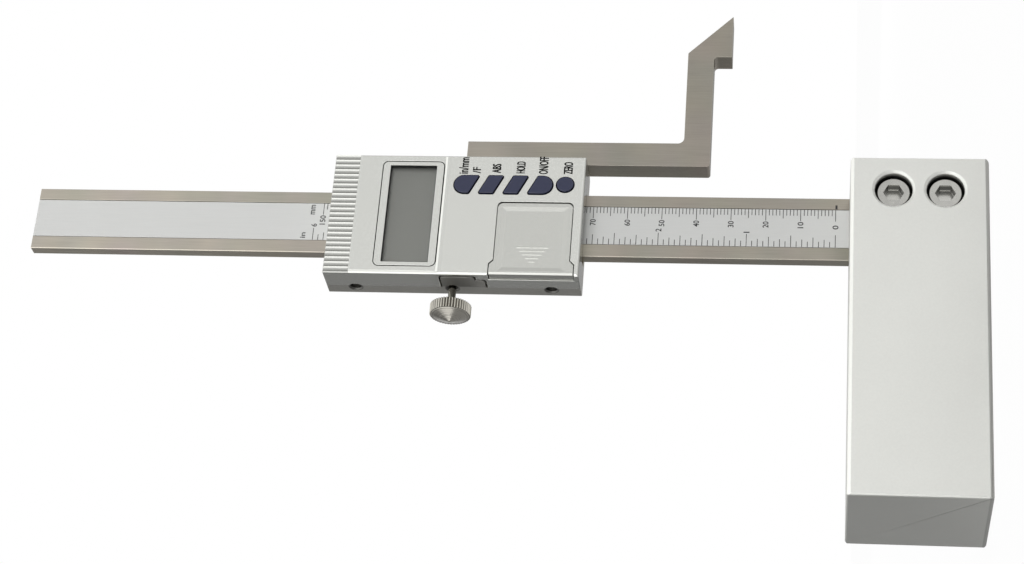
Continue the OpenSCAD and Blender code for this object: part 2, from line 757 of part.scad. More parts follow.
// Unit normal of a slanted side
slant_normal = [key_lean, key_h] / norm([key_lean, key_h]);

// Key between two slanted sides that start at the heights e[0] and e[1]
module slanted_key(e, grow) {
  r = key_r + grow;
  x = [key_x[0] + key_r, key_x[1] - key_r];
  a = [x[0], slant(x[0], e[0], key_r)];
  b = [x[1], slant(x[1], e[0], key_r)];
  c = [x[1], slant(x[1], e[1], -key_r)];
  d = [x[0], slant(x[0], e[1], -key_r)];
  polygon([a - [r, 0], a + r * slant_normal, b + r * slant_normal, b + [r, 0],
    c + [r, 0], c - r * slant_normal, d - r * slant_normal, d - [r, 0]]);
  for (p = [a, b, c, d]) translate(p) circle(r);
}

// Key with one slanted side that starts at the height e and a round end, up = 1 or down = -1
module end_key(e, up, grow) {
  r = key_r + grow;
  x = [key_x[0] + key_r, key_x[1] - key_r];
  a = [x[0], slant(x[0], e, -up * key_r)];
  b = [x[1], slant(x[1], e, -up * key_r)];
  far = up > 0 ? e - key_lean + end_key_len : e - end_key_len;
  mid = cover_z[0] + far - up * key_h / 2;
  polygon([[key_x[0] - grow, mid], a - [r, 0], a - up * r * slant_normal,
    b - up * r * slant_normal, b + [r, 0], [key_x[1] + grow, mid]]);
  for (p = [a, b]) translate(p) circle(r);
  translate([key_side, mid]) intersection() {
    circle(d = key_h + 2 * grow);
    translate([-key_h, up > 0 ? 0 : -2 * key_h]) square(2 * key_h);
  }
}

// Outline of the key with the number i
module key_outline(i, grow) {
  if (i == 0) end_key(key_edges[0], 1, grow);
  if (i == 1) slanted_key([key_edges[1], key_edges[2]], grow);
  if (i == 2) slanted_key([key_edges[3], key_edges[4]], grow);
  if (i == 3) end_key(key_edges[5], -1, grow);
  if (i == 4) translate([round_key_x, cover_z[0] + round_key_rise]) circle(d = round_key_d + 2 * grow);
}

module key(i) {
  color("darkslateblue") {
    plate_y([-cover_front - key_proud, key_flange_y[0] + fit_gap]) key_outline(i, 0);
    plate_y(key_flange_y) key_outline(i, key_flange);
    rod_y(key_stem_d, key_stems[i][0], [key_flange_y[1] - fit_gap, stem_end_y],
      cover_z[0] + key_stems[i][1]);
  }
}

module button_units() key(0);
module button_abs() key(1);
module button_hold() key(2);
module button_power() key(3);
module button_zero() key(4);

// Outline of the battery lid, with the ears where it wraps over the edge
module lid_outline(grow) {
  edge = lid_edge + grow + (grow > 0 ? lid_end_gap : 0);
  z = [lid_z[0] - grow, lid_z[1] + grow];
  ear_x = head_x[0] + lid_ear_len + grow;
  translate([head_x[0] - grow, z[0]]) square([edge - lid_r - head_x[0] + grow, z[1] - z[0]]);
  translate([edge - 2 * lid_r, z[0] + lid_r]) square([2 * lid_r, z[1] - z[0] - 2 * lid_r]);
  for (b = [z[0] + lid_r, z[1] - lid_r]) translate([edge - lid_r, b]) circle(lid_r);
  polygon([[head_x[0] - grow, z[0] - lid_ear], [ear_x, z[0] - lid_ear], [ear_x + lid_ear, z[0]],
    [ear_x + lid_ear, z[1]], [ear_x, z[1] + lid_ear], [head_x[0] - grow, z[1] + lid_ear]]);
}

// Shallow field in the lid's face, with sloping sides
module lid_field() {
  x = [head_x[0] + lid_field_in, lid_edge - lid_field_in];
  z = [lid_z[0] + lid_field_in, lid_z[1] - lid_field_in];
  y = [-cover_front - lid_field_depth, -cover_front + lid_field_depth];
  intersection() {
    plate_z(z) polygon([[x[0] - lid_field_bevel, y[0]], [x[1] + lid_field_bevel, y[0]],
      [x[1] - lid_field_bevel, y[1]], [x[0] + lid_field_bevel, y[1]]]);
    plate_x(x) polygon([[y[0], z[0] - lid_field_bevel], [y[0], z[1] + lid_field_bevel],
      [y[1], z[1] - lid_field_bevel], [y[1], z[0] + lid_field_bevel]]);
  }
}

module battery_cover() {
  side_x = head_x[0] + lid_lip_in;
  lip_y = -cover_front + lid_lip;
  lip_z = [lid_z[0] - lid_ear, lid_z[1] + lid_ear];
  color("silver") {
    intersection() {
      difference() {
        union() {
          plate_y([-cover_front, lid_rail_y[0] + fit_gap]) lid_outline(0);
          slab([side_x, head_x[0] + lid_lip_t], [-cover_front, lip_y], lip_z);
        }
        lid_field();
      }
      plate_z(lip_z) polygon([[side_x, lip_y], [side_x, -cover_front + cover_round],
        [head_x[0] + cover_round, -cover_front], [lid_edge, -cover_front], [lid_edge, lip_y]]);
    }
    slab([head_x[0] + lid_lip_t, lid_edge + lid_rail], lid_rail_y,
      [lid_z[0] - lid_rail, lid_z[1] + lid_rail]);
    for (i = [0:arrow_count - 1]) {
      half = (arrow_len / 2) * (1 - i / arrow_count);
      x = arrow_x - i * arrow_len / (2 * arrow_count) * arrow_slope_share;
      slab([x - arrow_line, x],
        [-cover_front + lid_field_depth - arrow_t, -cover_front + lid_field_depth + fit_gap],
        [lid_mid_z - half, lid_mid_z + half]);
    }
  }
}

// Side profile of the cover in Y and Z
module cover_profile() {
  z = cover_z[0];
  polygon([[-seam_front, z], [-cover_front + cover_round, z], [-cover_front, z + cover_round],
    [-cover_front, z + step_rise[0]],
    [-cover_front - step_foot_share * display_raise, z + step_rise[1]],
    [-display_front, z + step_rise[2]],
    [-display_front, z + rib_rise], [-cover_front + rib_sink, z + rib_rise],
    [-cover_front + rib_sink, cover_z[1] - rib_end_round],
    [-cover_front + rib_sink + rib_end_round, cover_z[1]], [-seam_front, cover_z[1]]]);
}

module front_cover() {
  color("lightgray") difference() {
    union() {
      difference() {
        intersection() {
          plate_x(head_x) cover_profile();
          plate_z(cover_z) polygon([[head_x[0], -seam_front],
            [head_x[0], -cover_front + cover_round], [head_x[0] + cover_round, -display_front],
            [head_x[1] - cover_round, -display_front], [head_x[1], -cover_front + cover_round],
            [head_x[1], -seam_front]]);
        }
        slab(skirt_x, [-ceiling, cut], [cover_z[0] + cover_wall, cover_z[0] + step_rise[0]]);
        slab(skirt_x, [-display_ceiling, cut],
          [cover_z[0] + step_rise[0] - fit_gap, cover_z[1] - cover_wall]);
      }
      for (x = cover_screw_x, z = cover_screw_z)
        rod_y(cover_boss_d, x,
          [x < 0 && z < lid_mid_z ? -cover_boss_low : -display_ceiling - fit_gap,
            -board_front - core_gap], z);
    }
    for (x = cover_screw_x, z = cover_screw_z)
      rod_y(cover_screw_d + 2 * fit_gap, x, [-cover_boss_low + 2 * fit_gap, cut], z);
    slab([channel_x[0] - beam_way_gap, channel_x[1] + beam_way_gap],
      [-board_front - 2 * core_gap, cut], [cover_z[0] - cut, cover_z[1] + cut]);
    plate_x([boss_x[0] - cut, boss_x[1] + shut_gap]) boss_outline(0);
    for (z = gib_screw_z) side_hole(skirt_x[0] + cut, z);
    slab([pad_x[0] - shut_gap, pad_x[1] + cut], [arm_y[0] - shut_gap, cut],
      [cover_z[0] + pad_rise - shut_gap, arm_top_z + shut_gap]);
    plate_y([-display_front - cut, bezel_y[1]])
      rounded([bezel_x[0] - bezel_groove, bezel_x[1] + bezel_groove],
        [bezel_z[0] - bezel_groove, bezel_z[1] + bezel_groove], bezel_r + bezel_groove);
    slab([window_x[0] - fit_gap, window_x[1] + fit_gap], [bezel_y[1] - fit_gap, 0],
      [window_z[0] - fit_gap, window_z[1] + fit_gap]);
    for (i = [0:4]) plate_y([-cover_front - cut, -ceiling + cut]) key_outline(i, key_hole_gap);
    plate_y([-cover_front - cut, -ceiling + cut]) lid_outline(lid_gap);
    slab([head_x[0] - cut, skirt_x[0] + cut], [-cover_front - cut, -cover_front + lid_lip + shut_gap],
      [lid_z[0] - lid_ear - lid_gap, lid_z[1] + lid_ear + lid_gap]);
    for (i = [1:groove_count])
      translate([head_x[1] - (i - groove_start_share) * groove_pitch,
          -cover_front + rib_sink + groove_depth - groove_r, cover_z[0] + rib_rise])
        cylinder(r = groove_r, h = rib_len + cut);
  }
}

module cover_screws() {
  color("silver") for (x = cover_screw_x, z = cover_screw_z) difference() {
    union() {
      translate([x, frame_back, z]) rotate([90, 0, 0])
        cylinder(d1 = cover_screw_head_d, d2 = cover_screw_d,
          h = (cover_screw_head_d - cover_screw_d) / 2);
      rod_y(cover_screw_d, x, [frame_back - cover_screw_len, frame_back - fit_gap], z);
    }
    for (a = [0, 90]) translate([x, frame_back, z]) rotate([0, a, 0])
      translate([-cover_screw_d / 2, -cross_slot_depth, -cross_slot_w / 2])
        cube([cover_screw_d, cross_slot_depth + cut, cross_slot_w]);
  }
}

base_block();
base_screws();
beam();
scale_plate();
slider_frame();
measuring_arm();
arm_screws();
gib_strip();
gib_screws();
lock_shoe();
lock_screw();
reader_board();
board_screws();
control_chip();
snap_domes();
contact_strips();
lcd_panel();
display_window();
window_bezel();
battery_tray();
coin_cell();
positive_contact();
negative_contact();
front_cover();
cover_screws();
button_units();
button_abs();
button_hold();
button_power();
button_zero();
battery_cover();
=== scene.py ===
import json
import math

import bmesh
import bpy
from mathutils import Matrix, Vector

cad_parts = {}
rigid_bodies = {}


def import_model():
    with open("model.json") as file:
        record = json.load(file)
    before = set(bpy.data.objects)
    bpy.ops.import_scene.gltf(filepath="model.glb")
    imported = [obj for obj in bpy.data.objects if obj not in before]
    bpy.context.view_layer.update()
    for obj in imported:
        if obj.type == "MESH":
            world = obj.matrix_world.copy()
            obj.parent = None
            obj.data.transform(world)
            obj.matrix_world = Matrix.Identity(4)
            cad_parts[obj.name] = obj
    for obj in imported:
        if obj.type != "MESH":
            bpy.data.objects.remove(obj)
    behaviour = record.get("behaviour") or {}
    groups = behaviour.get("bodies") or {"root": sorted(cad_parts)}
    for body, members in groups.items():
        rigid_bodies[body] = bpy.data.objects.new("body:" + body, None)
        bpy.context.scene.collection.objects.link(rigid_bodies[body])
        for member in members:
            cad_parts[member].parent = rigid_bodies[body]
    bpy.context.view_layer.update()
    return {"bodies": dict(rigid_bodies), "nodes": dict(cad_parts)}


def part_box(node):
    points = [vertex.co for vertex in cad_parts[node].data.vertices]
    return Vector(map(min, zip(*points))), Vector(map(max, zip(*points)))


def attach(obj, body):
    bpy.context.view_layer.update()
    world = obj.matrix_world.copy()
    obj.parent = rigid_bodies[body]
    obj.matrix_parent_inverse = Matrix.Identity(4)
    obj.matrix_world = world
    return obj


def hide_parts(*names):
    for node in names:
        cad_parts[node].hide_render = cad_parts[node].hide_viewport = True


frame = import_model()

MM = 0.001
NODES = frame["nodes"]
BODY_OF = {node: body for body, empty in frame["bodies"].items()
           for node, obj in NODES.items() if obj.parent is empty}
SLOT_OF = {node: obj.data.materials[0].name.split(".")[0] for node, obj in NODES.items()}

# Places on the gauge, in millimetres
BLOCK_FRONT = -25.15
CLAMP_X = 0.4
CLAMP_Z = (11.925, 26.175)
CLAMP_FACE = BLOCK_FRONT + 2.3
GIB_SCREW_Z = (122.8, 180.1)
LOCK_Z = 151.65
BOSS_X = (-15, -14)
BOSS_Y = (-1.2, -1.0)
COVER_FRONT = -9.25
COVER_CUTS_X = (-19.7, 17.8)
COVER_CUTS_Z = (115.0, 154.1)
BEZEL_SEAT_X = (-18.4, 16.7)
BEZEL_SEAT_Z = (155.6, 174.2)
GRIP_Z = 180.9
ZERO_Z = 42.0
INCH = 25.4


# Node helpers

def link(tree, source, target):
    tree.links.new(source, target)


def combined(tree, operation, a, b=None):
    """Two values in a Math node; b may be a plain number or left out."""
    made = tree.nodes.new("ShaderNodeMath")
    made.operation = operation
    link(tree, a, made.inputs[0])
    if isinstance(b, (int, float)):
        made.inputs[1].default_value = b
    elif b is not None:
        link(tree, b, made.inputs[1])
    return made.outputs["Value"]


def multiply(tree, *values):
    """The product of two values or more."""
    product = values[0]
    for value in values[1:]:
        product = combined(tree, "MULTIPLY", product, value)
    return product


def add(tree, a, b):
    return combined(tree, "ADD", a, b)


def least(tree, values):
    """The least of some values."""
    lowest = values[0]
    for value in values[1:]:
        lowest = combined(tree, "MINIMUM", lowest, value)
    return lowest


def most(tree, values):
    """The greatest of some values."""
    highest = values[0]
    for value in values[1:]:
        highest = combined(tree, "MAXIMUM", highest, value)
    return highest


def mapped(tree, value, low, high, to_low, to_high):
    """value, run from low..high to to_low..to_high, and held at the ends."""
    ramp = tree.nodes.new("ShaderNodeMapRange")
    link(tree, value, ramp.inputs["Value"])
    for name, number in (("From Min", low), ("From Max", high),
                         ("To Min", to_low), ("To Max", to_high)):
        ramp.inputs[name].default_value = number
    return ramp.outputs["Result"]


def placed(tree, value, low, high, to_low, to_high):
    """As mapped, with low and high in millimetres."""
    return mapped(tree, value, low * MM, high * MM, to_low, to_high)


def span(tree, value, low, high, blur):
    """1 between low and high, in millimetres, and 0 outside them, with soft ends."""
    return multiply(tree, placed(tree, value, low, low + blur, 0.0, 1.0),
                    placed(tree, value, high - blur, high, 1.0, 0.0))


def inverse(tree, value):
    """1 less a value between 0 and 1."""
    return mapped(tree, value, 0.0, 1.0, 1.0, 0.0)


def object_axes(tree):
    """The object's own x, y and z in metres."""
    place = tree.nodes.new("ShaderNodeTexCoord")
    split = tree.nodes.new("ShaderNodeSeparateXYZ")
    link(tree, place.outputs["Object"], split.inputs["Vector"])
    return split.outputs["X"], split.outputs["Y"], split.outputs["Z"]


def off_axis(tree, a, b, a0, b0):
    """Distance in the plane of a and b from the point a0, b0, which is in millimetres."""
    da = combined(tree, "SUBTRACT", a, a0 * MM)
    db = combined(tree, "SUBTRACT", b, b0 * MM)
    return combined(tree, "SQRT", add(tree, multiply(tree, da, da), multiply(tree, db, db)))


def off_clamps(tree, x, z):
    """Distance from the nearer clamp screw's axis."""
    return least(tree, [off_axis(tree, x, z, CLAMP_X, clamp_z) for clamp_z in CLAMP_Z])


def noise(tree, scale, detail=3.0):
    """Noise in the object's own metres, with its own scale along each axis."""
    place = tree.nodes.new("ShaderNodeTexCoord")
    mapping = tree.nodes.new("ShaderNodeMapping")
    mapping.inputs["Scale"].default_value = scale
    link(tree, place.outputs["Object"], mapping.inputs["Vector"])
    made = tree.nodes.new("ShaderNodeTexNoise")
    made.inputs["Scale"].default_value = 1.0
    made.inputs["Detail"].default_value = detail
    made.inputs["Roughness"].default_value = 0.55
    link(tree, mapping.outputs["Vector"], made.inputs["Vector"])
    return made.outputs["Fac"]


def bump(tree, height, distance, below=None):
    """Relief from a height, over the relief below it."""
    made = tree.nodes.new("ShaderNodeBump")
    made.inputs["Distance"].default_value = distance
    made.inputs["Strength"].default_value = 1.0
    link(tree, height, made.inputs["Height"])
    if below is not None:
        link(tree, below, made.inputs["Normal"])
    return made.outputs["Normal"]


def tinted(tree, colour, factor):
    """colour times factor, which varies over the surface."""
    made = tree.nodes.new("ShaderNodeVectorMath")
    made.operation = "SCALE"
    made.inputs[0].default_value = colour
    link(tree, factor, made.inputs["Scale"])
    return made.outputs["Vector"]


def patched(tree, colour, hue, scale):
    """The colour with soft patches of other hues."""
    place = tree.nodes.new("ShaderNodeTexCoord")
    soft = tree.nodes.new("ShaderNodeTexNoise")
    soft.inputs["Scale"].default_value = scale
    soft.inputs["Detail"].default_value = 1.0
    link(tree, place.outputs["Object"], soft.inputs["Vector"])
    spread = tree.nodes.new("ShaderNodeVectorMath")
    spread.operation = "MULTIPLY_ADD"
    link(tree, soft.outputs["Color"], spread.inputs[0])
    spread.inputs[1].default_value = (2 * hue,) * 3
    spread.inputs[2].default_value = (1 - hue,) * 3
    made = tree.nodes.new("ShaderNodeVectorMath")
    made.operation = "MULTIPLY"
    link(tree, colour, made.inputs[0])
    link(tree, spread.outputs["Vector"], made.inputs[1])
    return made.outputs["Vector"]


def along(tree, vector, direction):
    """How far a vector reaches along a direction."""
    made = tree.nodes.new("ShaderNodeVectorMath")
    made.operation = "DOT_PRODUCT"
    link(tree, vector, made.inputs[0])
    made.inputs[1].default_value = direction
    return made.outputs["Value"]


def white_light(tree, kind, strength):
    """White light from a node of the given kind; the strength is a number or a value."""
    made = tree.nodes.new(kind)
    made.inputs["Color"].default_value = (1, 1, 1, 1)
    if isinstance(strength, float):
        made.inputs["Strength"].default_value = strength
    else:
        link(tree, strength, made.inputs["Strength"])
    return made.outputs[0]


def mixed(tree, share, first, second):
    """The first shader where the share is 0, and the second where it is 1."""
    made = tree.nodes.new("ShaderNodeMixShader")
    link(tree, share, made.inputs["Fac"])
    link(tree, first, made.inputs[1])
    link(tree, second, made.inputs[2])
    return made.outputs["Shader"]


# Painted light and shade, and other tones, by place on the object

def block_tones(tree):
    """Painted shade down the counterbores, painted highlights on the chamfers round the front face,
    painted shade that makes the sides a little darker than the front face and darkens the lowest
    millimetre along the cut in the foot, and painted light that is paler towards the -x end.
    """
    x, y, z = object_axes(tree)
    # Painted shade down the counterbores
    inside = placed(tree, off_clamps(tree, x, z), 5.3, 5.45, 1.0, 0.0)
    deep = placed(tree, y, BLOCK_FRONT + 0.8, BLOCK_FRONT + 2.4, 0.0, 0.95)
    bores = inverse(tree, multiply(tree, inside, deep))
    front = placed(tree, y, BLOCK_FRONT + 0.8, BLOCK_FRONT + 1.2, 1.0, 0.0)
    cut = placed(tree, y, BLOCK_FRONT + 0.03, BLOCK_FRONT + 0.08, 0.0, 1.0)
    # Painted light: paler towards the block's -x end
    face = placed(tree, x, -88, 8, 1.02, 0.93)
    # Painted shade: faces behind the front face a little darker
    sides = mapped(tree, front, 0.0, 1.0, 0.86, 1.0)
    # Painted highlight on the chamfers round the front face
    edges = mapped(tree, multiply(tree, front, cut), 0.0, 1.0, 1.0, 1.22)
    # Painted shade on the lowest millimetre, where the cut along the foot is
    foot = placed(tree, z, 1.0, 1.4, 0.72, 1.3)
    return multiply(tree, bores, face, sides, combined(tree, "MINIMUM", edges, foot))


def screw_tones(tree):
    """Painted shade down the clamp screws' sockets and behind their rims, and dark gib screws."""
    x, y, z = object_axes(tree)
    near = off_clamps(tree, x, z)
    # Painted shade, deeper down the sockets
    deep = multiply(tree, placed(tree, y, CLAMP_FACE + 0.05, CLAMP_FACE + 1.0, 0.3, 0.86),
                    placed(tree, y, CLAMP_FACE + 2.5, CLAMP_FACE + 2.9, 1.0, 0.25))
    # Painted shade on the heads' sides, behind their rims
    rim = multiply(tree, placed(tree, near, 4.2, 4.6, 0.0, 0.9),
                   placed(tree, y, CLAMP_FACE + 0.3, CLAMP_FACE + 0.8, 0.0, 1.0))
    inside = placed(tree, near, 9.0, 9.2, 1.0, 0.0)
    heads = inverse(tree, multiply(tree, inside, most(tree, [deep, rim])))
    gib = multiply(tree, placed(tree, x, -12, -11, 1.0, 0.0),
                   placed(tree, combined(tree, "ABSOLUTE", y), 1.6, 1.7, 1.0, 0.0))
    return multiply(tree, heads, mapped(tree, gib, 0.0, 1.0, 1.0, 0.3))


def steel_tones(tree):
    """Painted light on the ground steel: paler up the beam, and a little darker on the arm."""
    x, y, z = object_axes(tree)
    return multiply(tree, placed(tree, x, 12, 18, 1.0, 0.92),
                    placed(tree, z, 80, 250, 0.80, 1.15))


def frame_tones(tree):
    """Olive lock boss, and painted shade in and round the screw holes of the head's side."""
    x, y, z = object_axes(tree)
    boss = placed(tree, y, *BOSS_Y, 0.5, 0.1)
    holes = least(tree, [off_axis(tree, y, z, 0.0, hole_z) for hole_z in (*GIB_SCREW_Z, LOCK_Z)])
    # Painted shade in and round the screw holes
    painted_hole_shade = placed(tree, holes, 1.9, 2.4, 0.85, 0.0)
    outside = placed(tree, x, *BOSS_X, 1.0, 0.0)
    return inverse(tree, multiply(tree, outside, most(tree, [boss, painted_hole_shade])))


def rough_boss(tree):
    """The lock boss is duller than the rest of the frame."""
    x, y, z = object_axes(tree)
    return multiply(tree, placed(tree, x, *BOSS_X, 1.0, 0.0), placed(tree, y, *BOSS_Y, 0.28, 0.0))


def cover_tones(tree):
    """Painted shade in the gaps round the lid, buttons and bezel, in the grip's grooves, on the
    edge beside the display field, on the lower end and on a ledge by the lid.
    """
    x, y, z = object_axes(tree)
    # Painted shade deep in the gaps round the lid and buttons
    gaps = multiply(tree, span(tree, x, *COVER_CUTS_X, 0.2), span(tree, z, *COVER_CUTS_Z, 0.2),
                    placed(tree, y, COVER_FRONT + 0.1, COVER_FRONT + 0.25, 0.0, 0.85))
    # Painted shade on the walls of the bezel's groove
    bezel = multiply(tree, span(tree, x, *BEZEL_SEAT_X, 0.05), span(tree, z, *BEZEL_SEAT_Z, 0.05),
                     placed(tree, y, COVER_FRONT - 0.33, COVER_FRONT - 0.2, 0.0, 0.85))
    # Painted shade, deeper in the grip's grooves
    grip = multiply(tree, placed(tree, z, GRIP_Z, GRIP_Z + 0.1, 0.0, 1.0),
                    placed(tree, y, COVER_FRONT + 0.4, COVER_FRONT + 0.65, 0.14, 0.40),
                    placed(tree, y, COVER_FRONT + 0.85, COVER_FRONT + 0.95, 1.0, 0.0))
    # Painted shade on the front half of the edge beside the display field, which narrows its
    # highlight
    edge = multiply(tree, placed(tree, x, -19.75, -19.65, 0.28, 0.0),
                    placed(tree, y, COVER_FRONT + 0.05, COVER_FRONT + 0.25, 1.0, 0.0),
                    placed(tree, z, 154.5, 155.5, 0.0, 1.0))
    # Painted shade on the lower end
    end = placed(tree, z, 114.4, 114.7, 0.42, 0.0)
    # Painted shade on the ledge by the lid
    ledge = multiply(tree, placed(tree, y, -5.8, -5.7, 0.0, 0.5),
                     placed(tree, y, -5.7, -5.6, 1.0, 0.0),
                     placed(tree, z, 139.9, 140.0, 1.0, 0.0))
    return inverse(tree, most(tree, [gaps, bezel, grip, edge, end, ledge]))


def turned_rings(tree):
    """Fine turning marks round the lock screw's axis."""
    x, y, z = object_axes(tree)
    ring = tree.nodes.new("ShaderNodeTexNoise")
    ring.noise_dimensions = "1D"
    ring.inputs["Scale"].default_value = 2600.0
    ring.inputs["Detail"].default_value = 2.0
    link(tree, off_axis(tree, y, z, 0.0, LOCK_Z), ring.inputs["W"])
    return bump(tree, ring.outputs["Fac"], 0.09 * MM)


def knob_tones(tree):
    """Painted shade on the neck and cone, and on the bottoms of the knurls round the knob's rim."""
    x, y, z = object_axes(tree)
    neck = placed(tree, x, -26.2, -26.1, 1.0, 0.36)
    cone = placed(tree, x, -29.2, -29.1, 0.72, 1.0)
    # Painted shade in the bottoms of the knurls
    groove = placed(tree, off_axis(tree, y, z, 0.0, LOCK_Z), 5.62, 5.92, 0.75, 0.0)
    knurls = multiply(tree, span(tree, x, -29.15, -26.0, 0.1), groove)
    return multiply(tree, neck, cone, inverse(tree, knurls))


def plate_tones(tree):
    """Painted light: a little paler towards the plate's upper end."""
    x, y, z = object_axes(tree)
    return placed(tree, z, 60, 260, 0.93, 1.03)


def pale_low_side(tree):
    """Painted shade: a little darker towards the display's arm side."""
    x, y, z = object_axes(tree)
    return placed(tree, x, -16, 14, 1.1, 0.92)


# Materials

def surface(name, colour, metallic, roughness, grain=(900.0, 900.0, 900.0), grain_spread=0.04,
            grain_bump=0.0, blotch=0.0, blotch_scale=45.0, hue=0.0, rough_spread=0.05,
            shading=None, rougher=None, relief=None):
    """A Principled material whose colour, roughness and relief vary with a grain and soft blotches.

    The colour is linear, and grain_bump is a height in millimetres."""
    made = bpy.data.materials.new(name)
    made.use_nodes = True
    tree = made.node_tree
    shader = tree.nodes["Principled BSDF"]
    shader.inputs["Metallic"].default_value = metallic
    shader.inputs["Specular IOR Level"].default_value = 0.5
    fine = noise(tree, grain)
    shade = mapped(tree, fine, 0.25, 0.75, 1 - grain_spread, 1 + grain_spread)
    if blotch:
        soft = noise(tree, (blotch_scale,) * 3, detail=2.0)
        shade = multiply(tree, shade, mapped(tree, soft, 0.3, 0.7, 1 - blotch, 1 + blotch))
    # shading multiplies painted light and shade into the colour
    if shading:
        shade = multiply(tree, shade, shading(tree))
    base = tinted(tree, colour, shade)
    if hue:
        base = patched(tree, base, hue, blotch_scale)
    link(tree, base, shader.inputs["Base Color"])
    rough = mapped(tree, fine, 0.25, 0.75, roughness - rough_spread, roughness + rough_spread)
    if rougher:
        rough = add(tree, rough, rougher(tree))
    link(tree, rough, shader.inputs["Roughness"])
    normal = relief(tree) if relief else None
    if grain_bump:
        normal = bump(tree, fine, grain_bump * MM, below=normal)
    if normal is not None:
        link(tree, normal, shader.inputs["Normal"])
    return made


def clear_window():
    """A clear pane that dims what is behind it a little."""
    made = surface("clear_window", (0.55, 0.56, 0.54), 0.0, 0.05, grain_spread=0.01,
                   rough_spread=0.01)
    made.node_tree.nodes["Principled BSDF"].inputs["Alpha"].default_value = 0.14
    made.blend_method = "BLEND"
    return made


MATERIALS = {
    "anodised_block": surface("anodised_aluminium", (0.79, 0.795, 0.755), 0.35, 0.44,
                              grain=(1500, 1500, 1500), grain_spread=0.02, grain_bump=0.002,
                              blotch=0.012, shading=block_tones),
    "ground_steel": surface("ground_steel", (0.44, 0.41, 0.35), 1.0, 0.34,
                            grain=(4200, 4200, 90), grain_spread=0.08, grain_bump=0.003,
                            blotch=0.05, blotch_scale=70, hue=0.06, shading=steel_tones),
    "scale_plate": surface("scale_plate_satin", (0.665, 0.67, 0.655), 0.25, 0.42,
                           grain=(2500, 2500, 120), grain_spread=0.02, grain_bump=0.001,
                           blotch=0.01, shading=plate_tones),
    "satin_steel": surface("satin_steel", (0.56, 0.55, 0.51), 0.95, 0.30,
                           grain=(180, 180, 2600), grain_spread=0.03, rough_spread=0.02,
                           blotch=0.03, shading=frame_tones, rougher=rough_boss),
    "silver_cover": surface("silver_cover", (0.685, 0.69, 0.655), 0.85, 0.24,
                            grain=(2600, 2600, 2600), grain_spread=0.005, rough_spread=0.005,
                            blotch=0.006, shading=cover_tones),
    "navy_button": surface("navy_button", (0.021, 0.026, 0.068), 0.0, 0.24,
                           grain_spread=0.03, rough_spread=0.02),
    "zinc_screw": surface("zinc_plated", (0.62, 0.615, 0.58), 1.0, 0.24,
                          grain=(700, 700, 700), grain_spread=0.03, grain_bump=0.001,
                          blotch=0.04, blotch_scale=400, shading=screw_tones),
    "nickel_knob": surface("turned_nickel", (0.54, 0.52, 0.465), 1.0, 0.14,
                           grain=(5200, 300, 300), grain_spread=0.03, rough_spread=0.02,
                           shading=knob_tones, relief=turned_rings),
    "brass": surface("brass", (0.62, 0.45, 0.20), 1.0, 0.35, grain_spread=0.06),
    "board_green": surface("solder_mask", (0.03, 0.16, 0.07), 0.0, 0.35, grain_spread=0.05),
    "chip_black": surface("moulded_black", (0.02, 0.02, 0.022), 0.0, 0.5, grain_spread=0.08),
    "strip_rubber": surface("strip_rubber", (0.06, 0.06, 0.065), 0.0, 0.7, grain_spread=0.06),
    "display_glass": surface("liquid_crystal", (0.178, 0.182, 0.158), 0.0, 0.32,
                             grain=(700, 700, 700), grain_spread=0.01, shading=pale_low_side),
    "tray_plastic": surface("tray_plastic", (0.05, 0.05, 0.055), 0.0, 0.5, grain_spread=0.05),
    "cell_steel": surface("cell_steel", (0.60, 0.59, 0.56), 1.0, 0.25, grain_spread=0.05),
    "contact_nickel": surface("contact_nickel", (0.60, 0.57, 0.50), 1.0, 0.28, grain_spread=0.05),
    "clear_window": clear_window(),
}
LID = surface("silver_lid", (0.595, 0.60, 0.565), 0.85, 0.24, grain=(2600, 2600, 2600),
              grain_spread=0.005, rough_spread=0.005, blotch=0.006)
INK = surface("printed_ink", (0.012, 0.012, 0.013), 0.0, 0.55, grain_spread=0.06)


# Making pieces

def settle(obj, body, slot, material, *replaced):
    """Gives a new piece its material and body, and hides the CAD nodes that it stands for; the slot
    is not used.
    """
    obj.data.materials.clear()
    obj.data.materials.append(material)
    if replaced:
        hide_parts(*replaced)
    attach(obj, body)
    return obj


def linked(name, data):
    """A new object in the scene that shows the data."""
    obj = bpy.data.objects.new(name, data)
    bpy.context.scene.collection.objects.link(obj)
    return obj


def mesh_of(name, form):
    """A mesh with the form's faces; the form is freed."""
    mesh = bpy.data.meshes.new(name)
    form.to_mesh(mesh)
    form.free()
    return mesh


def inked(name, form, body):
    """A piece of black ink or lining with the form's faces."""
    return settle(linked(name, mesh_of(name, form)), body, "chip_black", INK)


def add_box(form, low, high):
    """A box between two corners."""
    for vert in bmesh.ops.create_cube(form, size=1.0)["verts"]:
        vert.co = Vector([a + (share + 0.5) * (b - a) for a, b, share in zip(low, high, vert.co)])


# CAD forms with rounded edges

EDGE_ANGLE = math.radians(32)
SAME_NORMAL = math.radians(1.5)
SAME_PLANE = math.radians(0.8)
WELD = 0.002 * MM
MOST_ROUND = 0.35
SEAM_Y = -0.9


def parted(edge, normal):
    """True where the two faces of an edge have different source normals at either end."""
    if len(edge.link_faces) != 2:
        return True
    for vert in edge.verts:
        a, b = [next(loop[normal] for loop in face.loops if loop.vert is vert)
                for face in edge.link_faces]
        if a.angle(b, 0.0) > SAME_NORMAL:
            return True
    return False


